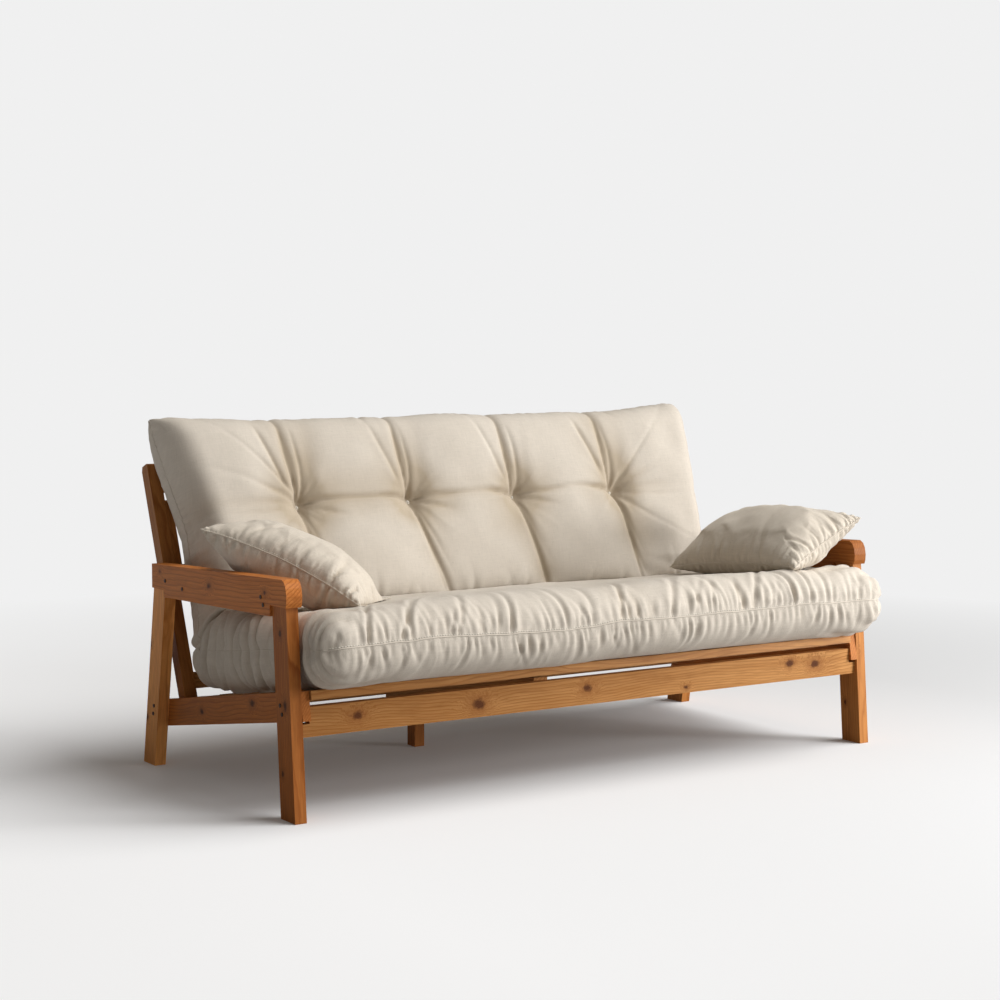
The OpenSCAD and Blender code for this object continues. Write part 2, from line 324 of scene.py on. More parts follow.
# half the width at places along the futon: the corners flare and the fold draws in
WIDTH_AT = np.array([0.0, 0.18, 0.40, 0.70, 0.86, 1.05, 1.30, 1.50, 1.72]) * LENGTH / 1.72
LEFT_HALF = [0.948, 0.950, 0.950, 0.946, 0.939, 0.914, 0.912, 0.944, 0.972]
RIGHT_HALF = [0.990, 0.982, 0.948, 0.940, 0.931, 0.928, 0.930, 0.944, 0.975]


def bent_line(across, width):
    """A fold: a sharp valley in a shallow trough, with a soft rise on either side."""
    gap = np.abs(across)
    sharp = np.exp(-((gap / (0.8 * width)) ** 1.2))
    trough = bell(gap / (3.4 * width))
    return 0.78 * sharp + 0.40 * trough - 0.16 * bell((gap - 3.2 * width) / (1.8 * width))


# seed, start, stop, pitch, reach, depth, width and lean of each row of folds
FRONT_MARKS = crease_marks(401, -0.96, 0.98, 0.021, 0.060, 0.0085, 0.0042, 0.10)
LONG_MARKS = crease_marks(402, -0.90, 0.95, 0.075, 0.150, 0.0085, 0.0055, 0.30)
UNDER_MARKS = crease_marks(403, -0.96, 0.98, 0.019, 0.055, 0.0085, 0.0042, -0.10)
CROWN_MARKS = crease_marks(404, -0.95, 0.95, 0.055, 0.055, 0.0050, 0.0045, 0.20)
END_MARKS = crease_marks(405, 0.05, 0.86, 0.046, 0.170, 0.0240, 0.0066, 0.00)
END_FINE = crease_marks(406, 0.02, 1.70, 0.024, 0.034, 0.0050, 0.0038, 0.00)
FOLD_MARKS = crease_marks(407, -0.93, 0.93, 0.062, 0.080, 0.0070, 0.0055, 0.10)
FRONT_DEPTH = 0.74
# depth, middle across and along, and half size across and along of the hollows under the pillows
HOLLOWS = ((0.022, -0.80, 0.36, 0.22, 0.30), (0.010, 0.72, 0.36, 0.20, 0.26))


def dent(b, t):
    """How far the seat sinks under the two pillows."""
    sunk = sum(d * np.exp(-(((b - x) / w) ** 2) - ((t - y) / h) ** 2) for d, x, y, w, h in HOLLOWS)
    return sunk * ease(FOLD_T - t, 0.15)


def rim_path_of(grid):
    """The points of a grid's rim, once round."""
    return np.concatenate([grid[0, :-1], grid[:-1, -1], grid[-1, :0:-1], grid[:0:-1, 0]])


def futon_grid():
    """For each point of the grid: place across and along, fullness above and below, distance to the seam
    at the front or top and to the one at the ends."""
    a_base, a_x, a_side, a_away = spread(LENGTH, EDGE, 0.0072, 16)
    b_base, b_x, b_side, b_away = spread(2 * HALF_W, EDGE, 0.0043, 18)
    front_corner, top_corner = 0.20, 0.04
    corner = np.where(a_side > 0, top_corner, front_corner)[:, None]
    a, b = a_x[:, None], b_x[None, :]
    place = a_base[:, None] + a_side[:, None] * EDGE * a * (1 - corner * b**4)
    wide = b_base[None, :] + b_side[None, :] * EDGE * b * (1 - corner * a**4) - HALF_W
    part = wide / HALF_W
    left_half, right_half = (np.interp(place, WIDTH_AT, half) for half in (LEFT_HALF, RIGHT_HALF))
    wide = part * np.where(part < 0, left_half, right_half)
    sag = 0.085 * np.clip(1 - np.abs(part) ** 3.2, 0, 1) + 0.045 * np.clip(-part, 0, 1) ** 2
    place = place - np.clip(place - TUFT_T, 0, None) * sag
    full = ((1 - a**2.5) * (1 - b**2.5)) ** (1 / 2.5)
    behind = ease(place - FOLD_T, 0.2)
    full_low = full * (1 - behind) + ((1 - a**2.0) * (1 - b**2.0)) ** (1 / 2.0) * behind
    da, db = np.broadcast_arrays(a_away[:, None], b_away[None, :])
    return wide, place, full, full_low, da, db


def build_futon():
    """The futon as one cover, with its rim, the rim's outward directions and the places of the tufts."""
    b, t, full, full_low, da, db = futon_grid()
    rows, cols = t.shape
    top, low = section(t.ravel())
    mid, half = ((top + low) / 2).reshape(rows, cols, 2), ((top - low) / 2).reshape(rows, cols, 2)
    near_front = np.exp(-(np.clip(t, 0, None) / 0.10) ** 2)
    wave = near_front * (0.007 * noise(b / 0.16, 0.5, 92) + 0.0035 * noise(b / 0.05, 0.5, 93))
    drop = (wave - full * dent(b, t))[..., None] * SEAT_N
    upper = np.dstack([b, mid + full[..., None] * half + drop])
    lower = np.dstack([b, mid - full_low[..., None] * half + wave[..., None] * SEAT_N])
    first, second, rim, quads = two_sheets(rows, cols)
    sheets = (first, second, rim)
    points = on_sheets(sheets, upper, lower)
    obj = mesh_object("futon", points, quads)

    ends = draw_creases(t, db, END_MARKS) + draw_creases(t, db, END_FINE)
    move = on_sheets(sheets, upper_shape(t, b, da, db) + ends, lower_shape(t, b, da, db) + ends)
    move[first[rim]] = 0.6 * ends[rim] + 0.002 * noise(b[rim] / 0.06, t[rim] / 0.06, 91)
    points = points + normals_of(obj) * move[:, None]
    set_coords(obj, points)

    flat, under = np.dstack([b, t, 0 * t]), np.dstack([b, t + 3.0, 0 * t])
    point_attribute(obj, "cloth_at", on_sheets(sheets, flat, under))
    # how deep each fold sinks, which the cloth's shader turns into painted shade
    point_attribute(obj, "valley", np.clip(-move / 0.016, 0, 1))
    path = rim_path_of(first)
    row = int(np.argmin(np.abs(t[:, cols // 2] - TUFT_T)))
    knots_at = [points[first[row, int(np.argmin(np.abs(b[row] - at)))]] for at in TUFTS]
    return obj, points[path], normals_of(obj)[path], knots_at


def cells(t, b, da):
    """The soft squares between the tufts of the back."""
    above = np.clip((t - TUFT_T) / (LENGTH - 0.10 - TUFT_T), 0, 1)
    below = np.clip((TUFT_T - t) / (TUFT_T - FOLD_T), 0, 1.2)
    shifted = b + 0.030 * above - 0.070 * below**1.3
    column = np.abs(np.sin(math.pi * (shifted - TUFTS[0]) / TUFT_PITCH))
    row = np.abs(np.sin(math.pi * np.clip((t - TUFT_T) / 0.62, -0.5, 0.5)))
    cell = column**0.8 * (0.35 + 0.65 * row**0.8)
    inside = ease(HALF_W - 0.02 - np.abs(b), 0.2)
    return ease(t - FOLD_T, 0.10) * inside * ease(da, 0.30) * (0.022 * cell - 0.010)


def creases_up(t, b, k, at):
    """Folds from tuft number k, at the place at, to the top edge."""
    rise = np.clip((t - TUFT_T) / (LENGTH - 0.02 - TUFT_T), 0, 1.1)
    start = ease(t - TUFT_T, 0.02)
    main = b - at + 0.032 * rise**0.8 + 0.012 * np.sin(3.1 * rise + 0.3 * k)
    out = 0.0150 * start * (1 - 0.72 * rise) * bent_line(main, 0.0048 + 0.003 * rise)
    second = b - at + 0.012 * rise - 0.010 * np.sin(3.6 * rise) + (0.006 if k % 2 else -0.004)
    out = out + 0.0085 * start * np.clip(1.25 - 1.5 * rise, 0, 1) * bent_line(second, 0.0048)
    slant = b - at + 0.030 + 0.105 * rise
    late = ease(rise - 0.14, 0.16) * ease(0.92 - rise, 0.3)
    out = out + (0.0070 if k % 3 == 0 else 0.0045) * late * bent_line(slant, 0.0058)
    broad = b - at - 0.020 - 0.035 * rise
    return out + 0.0060 * start * bell(broad / 0.028) * np.clip(1 - rise, 0, 1)


def creases_down(t, b, k, at):
    """Folds from a tuft to the crease over the seat."""
    below = np.clip((TUFT_T - t) / (TUFT_T - FOLD_T), 0, 1.2)
    start = ease(TUFT_T - t, 0.02) * ease(t - FOLD_T + 0.22, 0.30)
    drop = 0.050 + 0.016 * ((k * 5) % 3)
    main = b - at - drop * below**1.25 + 0.006 * np.sin(5 * below + k)
    out = 0.0110 * start * (1 - 0.50 * np.clip(below, 0, 1)) * bent_line(main, 0.0052)
    fork = b - at - (drop + 0.055) * below**1.1
    return out + 0.0050 * start * np.clip(1 - 1.5 * below, 0, 1) * bent_line(fork, 0.0050)


def creases_between(t, b, k, at):
    """Folds from a tuft to the next one on its right."""
    along = np.clip((b - at) / TUFT_PITCH, 0, 1)
    between = ease(along, 0.05) * ease(1 - along, 0.05)
    line = t - TUFT_T - 0.016 * np.sin(math.pi * along) - 0.003 * np.sin(9 * along + k)
    out = 0.0120 * (0.45 + 0.55 * np.cos(math.pi * along) ** 2) * bent_line(line, 0.0050)
    upper_line = t - TUFT_T - 0.060 * (1 - along)
    out = out + 0.0040 * ease(along - 0.62, 0.2) * bent_line(upper_line, 0.0050)
    under_line = t - TUFT_T + 0.004 + 0.10 * along
    return between * (out + 0.0045 * ease(0.42 - along, 0.25) * bent_line(under_line, 0.0052))


def creases_out(t, b, side):
    """A fan of folds from the outermost tuft to the end of the back: slope, depth and offset of each."""
    fan = (
        (0.55, 0.0075, 0.0), (-0.22, 0.0060, 0.0), (1.15, 0.0070, 0.008),
        (-0.85, 0.0050, -0.01), (0.16, 0.0050, 0.0),
    )
    away = side * b - TUFTS[-1]
    outer = ease(away, 0.02) * np.exp(-np.clip(away, 0, 1) / 0.15)
    out = 0
    for slope, depth, offset in fan:
        bow = 0.5 * away**2 * np.sign(slope)
        out = out + outer * depth * bent_line((t - TUFT_T) - slope * away - offset + bow, 0.0056)
    return out


def tuft_hollow(t, b, k, at):
    """The deep hollow at a tuft and the short rays round it."""
    far = np.hypot(t - TUFT_T, b - at)
    around = np.arctan2(t - TUFT_T, b - at)
    rays = ridge(noise(around * 3.1 + 9 * k, far / 0.16, 20 + k))
    hollow = 0.043 / (1 + (far / 0.036) ** 1.7) + 0.014 * np.exp(-far / 0.009)
    return hollow - 0.0050 * rays * np.exp(-far / 0.065) * (1 - np.exp(-far / 0.014))


def seam_dip(da, db):
    """The cover drawn in along its seam."""
    return 0.0045 * bell(np.minimum(da, db) / 0.006)


def upper_shape(t, b, da, db):
    """How far the cover stands out of its plain form, over the sitting side."""
    out = 0.006 * noise(b / 0.21, t / 0.17, 11) + 0.0026 * noise(b / 0.075, t / 0.09, 12) + cells(t, b, da)
    for k, at in enumerate(TUFTS):
        out = out - creases_up(t, b, k, at) - creases_down(t, b, k, at) - tuft_hollow(t, b, k, at)
        if k < len(TUFTS) - 1:
            out = out - creases_between(t, b, k, at)
    out = out - creases_out(t, b, -1) - creases_out(t, b, 1)
    fold_near = np.abs(t - FOLD_T)
    out = out - 0.016 * np.exp(-fold_near / 0.020) + draw_creases(b, fold_near, FOLD_MARKS)
    front, crown = np.where(t < FOLD_T, da, FAR), np.where(t > FOLD_T, da, FAR)
    out = out + FRONT_DEPTH * draw_creases(b, front, FRONT_MARKS) + draw_creases(b, front, LONG_MARKS)
    in_seat = 1 - ease(t - FOLD_T, 0.10)
    out = out + in_seat * 0.0026 * gathers(b, front, 40, 0.024, 0.070, 0.18)
    out = out + draw_creases(b, crown, CROWN_MARKS) + 0.0035 * gathers(t, db, 60, 0.040, 0.060, -0.3)
    return out - seam_dip(da, db)


def lower_shape(t, b, da, db):
    """The same for the side that lies on the slats, which stays flatter."""
    out = 0.002 * noise(b / 0.21, t / 0.17, 71)
    front, crown = np.where(t < FOLD_T, da, FAR), np.where(t > FOLD_T, da, FAR)
    out = out + FRONT_DEPTH * draw_creases(b, front, UNDER_MARKS, -1.0)
    out = out + 0.0026 * gathers(b, front, 80, 0.022, 0.060, 0.15)
    out = out + draw_creases(b, crown, CROWN_MARKS, -1.0)
    out = out + 0.0035 * gathers(t, db, 88, 0.040, 0.050, 0.3)
    return out - seam_dip(da, db)


def tube(name, path, radius):
    """A closed tube round a closed path."""
    sides = 8
    path = np.asarray(path)
    ahead = np.roll(path, -1, axis=0) - np.roll(path, 1, axis=0)
    ahead /= np.linalg.norm(ahead, axis=1)[:, None]
    ref = np.array([0.31, 0.52, 0.79])
    one = np.cross(ahead, ref)
    one /= np.linalg.norm(one, axis=1)[:, None]
    two = np.cross(ahead, one)
    angle = np.linspace(0, 2 * math.pi, sides, endpoint=False)
    cos, sin = np.cos(angle)[None, :, None], np.sin(angle)[None, :, None]
    ring = path[:, None] + radius * (cos * one[:, None] + sin * two[:, None])
    n = len(path)
    i, j = np.meshgrid(np.arange(n), np.arange(sides), indexing="ij")
    k, l = (i + 1) % n, (j + 1) % sides
    faces = np.stack([i * sides + j, i * sides + l, k * sides + l, k * sides + j], axis=-1).reshape(-1, 4)
    return mesh_object(name, ring.reshape(-1, 3), faces)


def even_steps(rows, step):
    """Rows of values at even steps along a path, whose points are the first three values of each row."""
    gap = np.linalg.norm(np.diff(rows[:, :3], axis=0), axis=1)
    rows = rows[np.concatenate([[True], gap > 1e-7])]
    run = np.concatenate([[0], np.cumsum(np.linalg.norm(np.diff(rows[:, :3], axis=0), axis=1))])
    at = np.linspace(0, run[-1], int(run[-1] / step), endpoint=False)
    return np.column_stack([np.interp(at, run, rows[:, c]) for c in range(rows.shape[1])])


def resample(path, step):
    """Even points round a closed path."""
    return even_steps(np.vstack([path, path[:1]]), step)


def sew(name, path, out, pitch, length, radius, aside):
    """Threads in short stitches beside a seam: out is the seam's outward direction, and aside moves the
    row off the seam. A path whose ends nearly meet is closed."""
    both = np.hstack([path, out])
    is_ring = np.linalg.norm(path[0] - path[-1]) < 0.05
    even = even_steps(np.vstack([both, both[:1]]) if is_ring else both, pitch)
    pts = even[:, :3]
    facing = even[:, 3:] / (np.linalg.norm(even[:, 3:], axis=1)[:, None] + 1e-12)
    ahead = np.gradient(pts, axis=0)
    ahead /= np.linalg.norm(ahead, axis=1)[:, None]
    over = np.cross(facing, ahead)
    over *= np.sign(over @ np.array([0.0, -0.2, 1.0]))[:, None]
    spots = pts + over * aside + facing * 0.0004
    verts, faces = [], []
    for spot, d, o in zip(spots, ahead, facing):
        s = np.cross(d, o)
        base = len(verts)
        for f, rise in ((-0.5, 0.0), (-0.25, 1.0), (0.25, 1.0), (0.5, 0.0)):
            m = spot + d * length * f
            verts += [m + s * radius, m + o * radius * 1.5 * rise, m - s * radius, m - o * radius]
        for k in range(3):
            for e in range(4):
                v0, v1 = base + 4 * k + e, base + 4 * k + (e + 1) % 4
                faces.append((v0, v1, v1 + 4, v0 + 4))
        faces += [(base + 3, base + 2, base + 1, base), (base + 12, base + 13, base + 14, base + 15)]
    return mesh_object(name, verts, faces)


futon, rim_path, rim_out, tuft_spots = build_futon()
futon_welt = tube("futon_welt", resample(rim_path, 0.006), WELT_R)
# the row of stitches shows along the front of the seat, short of its corners
front_run = (rim_path - np.array([0, *HINGE]))[:, 1:] @ SEAT_S < -0.86
front_run &= np.abs(rim_path[:, 0]) < 0.93
futon_thread = sew(
    "futon_thread", rim_path[front_run], rim_out[front_run],
    pitch=0.0082, length=0.0056, radius=0.0010, aside=0.0048,
)


# ---- tuft ties
def build_ties():
    """A padded button with a crossed thread at each tuft."""
    button_r, thread_r, thread_l, sink = 0.0070, 0.0010, 0.0075, 0.0022
    bm = bmesh.new()
    out = Vector((0.0, BACK_W[0], BACK_W[1]))
    turn = out.to_track_quat("Z", "Y").to_matrix().to_4x4()
    flat = Matrix.Diagonal((1, 1, 0.45, 1))
    lie = Matrix.Translation((0, 0, 0.0032)) @ Matrix.Rotation(math.pi / 2, 4, "X")
    for lowest in tuft_spots:
        spot = Matrix.Translation(Vector(lowest) + out * sink) @ turn
        bmesh.ops.create_uvsphere(bm, u_segments=24, v_segments=12, radius=button_r, matrix=spot @ flat)
        for k in range(2):
            across = spot @ Matrix.Rotation(math.pi / 4 + k * math.pi / 2, 4, "Z") @ lie
            ends = {"radius1": thread_r, "radius2": thread_r}
            bmesh.ops.create_cone(bm, cap_ends=True, segments=10, depth=thread_l, matrix=across, **ends)
    return object_from(bm, "futon_ties")


ties = build_ties()


# ---- pillows
def closer_at_ends(count):
    """Values from -1 to 1 that crowd towards both ends."""
    even = np.linspace(-1, 1, count)
    return np.sin(even * math.pi / 2) * 0.6 + even * 0.4


def pillow_blank(name, long, wide, thick, seed):
    """A full pillow with thin edges: two domed sheets sewn along their rim."""
    rows, cols = 64, 96
    v, u = closer_at_ends(rows)[:, None], closer_at_ends(cols)[None, :]
    x = u * long / 2 * (1 - 0.060 * (1 - v**2) * np.abs(u) ** 3)
    y = v * wide / 2 * (1 - 0.075 * (1 - u**2) * np.abs(v) ** 3)
    dome = ((1 - np.abs(u) ** 2.4) * (1 - np.abs(v) ** 2.2)) ** 0.46
    lump = 0.006 * noise(u * long / 0.13, v * wide / 0.13, seed) * dome
    upper = np.stack([x, y, thick / 2 * dome + lump], axis=-1)
    lower = np.stack([x, y, lump - thick / 2 * dome], axis=-1)
    first, second, rim, quads = two_sheets(rows, cols)
    sheets = (first, second, rim)
    obj = mesh_object(name, on_sheets(sheets, upper, lower), quads)
    flat, under = np.stack([x, y, 0 * x], axis=-1), np.stack([x + 1.0, y, 0 * x], axis=-1)
    point_attribute(obj, "cloth_at", on_sheets(sheets, flat, under))
    obj.vertex_groups.new(name="seam").add([int(i) for i in first[rim]], 1.0, "REPLACE")
    return obj, rim_path_of(first)


def inflate(obj, pressure, frames=14, cap=0.007):
    """Fills the case as cloth and applies the result; no point moves more than cap."""
    before = read(obj.data.vertices)
    mod = obj.modifiers.new("Cloth", "CLOTH")
    settings = {
        "quality": 6, "mass": 0.25, "tension_stiffness": 18, "compression_stiffness": 8, "shear_stiffness": 5,
        "bending_stiffness": 0.6, "use_pressure": True, "uniform_pressure_force": pressure,
        "vertex_group_shrink": "seam", "shrink_min": -0.05, "shrink_max": 0.12,
    }
    for key, value in settings.items():
        setattr(mod.settings, key, value)
    mod.settings.effector_weights.gravity = 0
    mod.point_cache.frame_start, mod.point_cache.frame_end = 1, frames
    for f in range(1, frames + 1):
        scene.frame_set(f)
    shaped = obj.evaluated_get(bpy.context.evaluated_depsgraph_get())
    shift = read(shaped.data.vertices) - before
    obj.modifiers.remove(mod)
    scene.frame_set(1)
    size = np.linalg.norm(shift, axis=1)[:, None]
    set_coords(obj, before + shift * np.minimum(1, cap / np.maximum(size, 1e-9)))


def subdivide(obj):
    mod = obj.modifiers.new("Round", "SUBSURF")
    mod.levels = mod.render_levels = 1
    shaped = obj.evaluated_get(bpy.context.evaluated_depsgraph_get())
    mesh = bpy.data.meshes.new_from_object(shaped)
    obj.modifiers.clear()
    obj.data = mesh
    mesh.polygons.foreach_set("use_smooth", np.ones(len(mesh.polygons), bool))


def soft_stop(depth, soft=0.006):
    """Pushes out what has sunk in by depth, easing in just before contact."""
    touching = np.clip(depth + soft, 0, None) ** 2 / (4 * soft)
    return np.where(depth >= soft, depth, touching)


def press(co):
    """Rests a pillow's points on the futon's seat and back and on the tops of the arms."""
    grid = np.linspace(0.02, LENGTH - 0.05, 300)
    top, _ = section(grid)
    seat_part, back_part = grid < FOLD_T, grid > FOLD_T
    seat_s, seat_n = (top[seat_part] - HINGE) @ SEAT_S, (top[seat_part] - HINGE) @ SEAT_N
    back_u, back_w = (top[back_part] - HINGE) @ BACK_U, (top[back_part] - HINGE) @ BACK_W
    flat = co[:, 1:] - HINGE
    n = flat @ SEAT_N
    where = np.interp(flat @ SEAT_S, seat_s, grid[seat_part])
    sunk = np.interp(flat @ SEAT_S, seat_s, seat_n) - dent(co[:, 0], where) + 0.004 - n
    co[:, 1:] += soft_stop(sunk)[:, None] * SEAT_N
    flat = co[:, 1:] - HINGE
    w = flat @ BACK_W
    sunk = np.interp(flat @ BACK_U, back_u, back_w) + 0.004 - w
    sunk = np.where(flat @ BACK_U > 0.24, sunk, -1)
    co[:, 1:] += soft_stop(sunk)[:, None] * BACK_W
    arm_lo, arm_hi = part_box("arm_left")
    slope = ARM_FALL / (arm_hi[1] - arm_lo[1])
    arm_top = arm_hi[2] - ARM_FALL + (co[:, 1] - arm_lo[1]) * slope
    over = np.abs(co[:, 0]) > abs(arm_hi[0]) - 0.012
    sunk = np.where(over, arm_top + 0.003 - co[:, 2], -1)
    co[:, 2] += soft_stop(np.where(sunk < 0.07, sunk, -1))
    return co


def bow_of(x, long, arch):
    """Height of a pillow's bowed middle sheet."""
    return arch * (1 - (2 * x / long) ** 2)


def seam_distance(co, rim, step):
    """How far each point is from the seam, and how far along the seam its nearest place is."""
    away = np.full(len(co), FAR)
    run = np.zeros(len(co))
    for number, spot in enumerate(rim):
        gap = np.linalg.norm(co - spot, axis=1)
        closer = gap < away
        away[closer], run[closer] = gap[closer], number * step
    return np.clip(away - 0.002, 0, None), run


def placed(place, points):
    return np.array([list(place @ Vector(p)) for p in points])


def build_pillow(name, long, wide, thick, seed, place, arch, creases):
    """A pillow with its welt and stitches, at rest at place. Creases scales its folds."""
    obj, path = pillow_blank(name, long, wide, thick, seed)
    inflate(obj, 3.0)
    rough = read(obj.data.vertices)
    rough *= np.array([long, wide, thick]) / np.ptp(rough, axis=0)
    rough[:, 2] += bow_of(rough[:, 0], long, arch)
    set_coords(obj, rough)
    step = 0.004
    rim = resample(rough[path], step)
    subdivide(obj)
    co, normal = read(obj.data.vertices), normals_of(obj)
    edge, run = seam_distance(co, rim, step)
    upper = co[:, 2] > bow_of(co[:, 0], long, arch)
    total = (len(rim) - 1) * step
    one = crease_marks(seed + 1, 0.0, total, 0.019, 0.050, 0.0075, 0.0040, 0.05)
    two = crease_marks(seed + 2, 0.0, total, 0.019, 0.050, 0.0075, 0.0040, -0.05)
    both = crease_marks(seed + 3, 0.0, total, 0.090, 0.120, 0.0065, 0.0055, 0.10)
    puff = np.where(upper, draw_creases(run, edge, one + both), draw_creases(run, edge, two + both))
    puff = puff + 0.0025 * gathers(run, edge, seed + 5, 0.020, 0.045, 0.1)
    puff = creases * puff * np.clip(edge / 0.004, 0, 1)
    co = co + normal * puff[:, None]
    # how deep each fold sinks, which the cloth's shader turns into painted shade
    point_attribute(obj, "valley", np.clip(-puff / 0.010, 0, 1))
    set_coords(obj, press(placed(place, co)))
    rim = placed(place, rim)
    out = rim - np.array(place.translation)
    rim = press(rim.copy())
    welt = tube(name + "_welt", rim, 0.0019)
    stitches = sew(name + "_thread", rim, out, pitch=0.0075, length=0.0050, radius=0.0009, aside=0.0048)
    return obj, welt, stitches


def place_at(x, y, z, yaw, pitch, roll):
    """Y is given before the shift that centres the sofa on its outline."""
    turn = Matrix.Rotation(math.radians(yaw), 4, "Z") @ Matrix.Rotation(math.radians(pitch), 4, "Y")
    turn = turn @ Matrix.Rotation(math.radians(roll), 4, "X")
    return Matrix.Translation((x, y + SHIFT_Y, z)) @ turn


ARM_FALL = 0.004
SHIFT_Y = HINGE[0] - 0.332
LEFT_REST = place_at(-0.784, -0.098, 0.595, yaw=-51.9, pitch=22.5, roll=-15.0)
RIGHT_REST = place_at(0.788, -0.228, 0.614, yaw=-82.9, pitch=-4.3, roll=23.0)
left = build_pillow("left_cushion", 0.500, 0.340, 0.196, 101, LEFT_REST, arch=0.022, creases=0.85)
right = build_pillow("right_cushion", 0.525, 0.340, 0.196, 131, RIGHT_REST, arch=0.006, creases=0.62)


# ---- materials
class Nodes:
    """Short calls for building a node tree."""

    def __init__(self, tree):
        self.tree = tree

    def add(self, kind, **values):
        node = self.tree.nodes.new("ShaderNode" + kind)
        for key, value in values.items():
            setattr(node, key, value)
        return node

    def clear(self):
        for node in list(self.tree.nodes):
            self.tree.nodes.remove(node)

    def link(self, a, b):
        self.tree.links.new(a, b)

    def put(self, socket, value):
        if hasattr(value, "is_linked") or hasattr(value, "links"):
            self.link(value, socket)
        else:
            socket.default_value = value

    def fill(self, node, sockets):
        """Gives a node's inputs their values or links, by name."""
        for name, value in sockets.items():
            self.put(node.inputs[name], value)

    def math(self, op, a, b=0.0, c=0.0):
        node = self.add("Math", operation=op)
        for i, v in enumerate((a, b, c)):
            self.put(node.inputs[i], v)
        return node.outputs[0]

    def times(self, a, b):
        return self.math("MULTIPLY", a, b)

    def plus(self, a, b):
        return self.math("ADD", a, b)

    def split(self, vector):
        node = self.add("SeparateXYZ")
        self.put(node.inputs[0], vector)
        return node.outputs[0], node.outputs[1], node.outputs[2]

    def measure(self, op, a, b=(0, 0, 0)):
        """A vector operation that gives a number."""
        node = self.add("VectorMath", operation=op)
        self.put(node.inputs[0], a)
        self.put(node.inputs[1], b)
        return node.outputs["Value"]

    def noise(self, vector, scale, detail=3.0, rough=0.5):
        node = self.add("TexNoise")
        self.fill(node, {"Vector": vector, "Scale": scale, "Detail": detail, "Roughness": rough})
        return node.outputs[0]

    def ramp(self, value, stops):
        node = self.add("ValToRGB")
        self.put(node.inputs[0], value)
        el = node.color_ramp.elements
        while len(el) < len(stops):
            el.new(0.5)
        for e, (p, c) in zip(el, stops):
            e.position = p
            e.color = (c, c, c, 1)
        return node.outputs[0]

    def mix(self, factor, a, b):
        node = self.add("Mix", data_type="RGBA")
        self.put(node.inputs[0], factor)
        for socket, v in ((node.inputs[6], a), (node.inputs[7], b)):
            self.put(socket, (*v, 1) if isinstance(v, tuple) and len(v) == 3 else v)
        return node.outputs[2]

    def range(self, value, lo, hi, to_lo=0.0, to_hi=1.0):
        node = self.add("MapRange", clamp=True)
        self.put(node.inputs[0], value)
        for i, v in enumerate((lo, hi, to_lo, to_hi)):
            node.inputs[i + 1].default_value = v
        return node.outputs[0]

    def bump(self, height, strength, distance, normal=None):
        node = self.add("Bump")
        self.fill(node, {"Strength": strength, "Distance": distance, "Height": height})
        if normal is not None:
            self.put(node.inputs["Normal"], normal)
        return node.outputs[0]


def new_material(name):
    mat = bpy.data.materials.new(name)
    mat.use_nodes = True
    n = Nodes(mat.node_tree)
    n.clear()
    out, shader = n.add("OutputMaterial"), n.add("BsdfPrincipled")
    n.link(shader.outputs[0], out.inputs[0])
    return mat, n, shader


def scaled(tint, share):
    return tuple(c * share for c in tint)


# colours of oiled pine
EARLY_WOOD, LATE_WOOD = (0.760, 0.405, 0.145), (0.340, 0.120, 0.026)
STREAK, CLOUD = (0.430, 0.170, 0.040), (0.820, 0.440, 0.165)
# the last colour below is painted shade for the dim left end of long boards
STAIN, FIBRE, LEFT_END_SHADE = (0.250, 0.085, 0.020), (0.240, 0.085, 0.020), (0.250, 0.095, 0.022)
KNOT_RIM, KNOT_PALE, KNOT_DARK = (0.300, 0.105, 0.028), (0.150, 0.050, 0.016), (0.060, 0.020, 0.008)


def join(n, x, y, z, scale, seed):
    """The three values scaled and shifted by the seed, as one vector."""
    node = n.add("CombineXYZ")
    for i, (v, k) in enumerate(zip((x, y, z), scale)):
        n.put(node.inputs[i], n.math("MULTIPLY_ADD", v, k, seed * (1.0 + 0.37 * i)))
    return node.outputs[0]


def knot_fields(n, coord, axes, at, knots):
    """A board's knots: their push on the rings, their darkness, and the distance to the nearest in radii.
    at is the shaded place along the three axes."""
    push = dark = nearest = None
    for place, size in knots:
        dx, dy, dz = (n.math("SUBTRACT", v, Vector(place).dot(axis)) for v, axis in zip(at, axes))
        flat = n.plus(n.times(dx, n.times(dx, 0.45)), n.times(dz, dz))
        flat = n.plus(flat, n.times(dy, n.times(dy, 0.02)))
        ragged = n.range(n.noise(coord, 0.9 / size, 3.0, 0.6), 0.25, 0.75, 0.55, 1.45)
        far = n.math("DIVIDE", n.math("SQRT", flat), n.times(ragged, size))
        bulge = n.math("POWER", 2.718, n.times(n.times(far, far), -0.30))
        core = n.range(far, 0.55, 1.15, 1.0, 0.0)
        push = bulge if push is None else n.plus(push, bulge)
        dark = core if dark is None else n.math("MAXIMUM", dark, core)
        nearest = far if nearest is None else n.math("MINIMUM", nearest, far)
    return push, dark, nearest


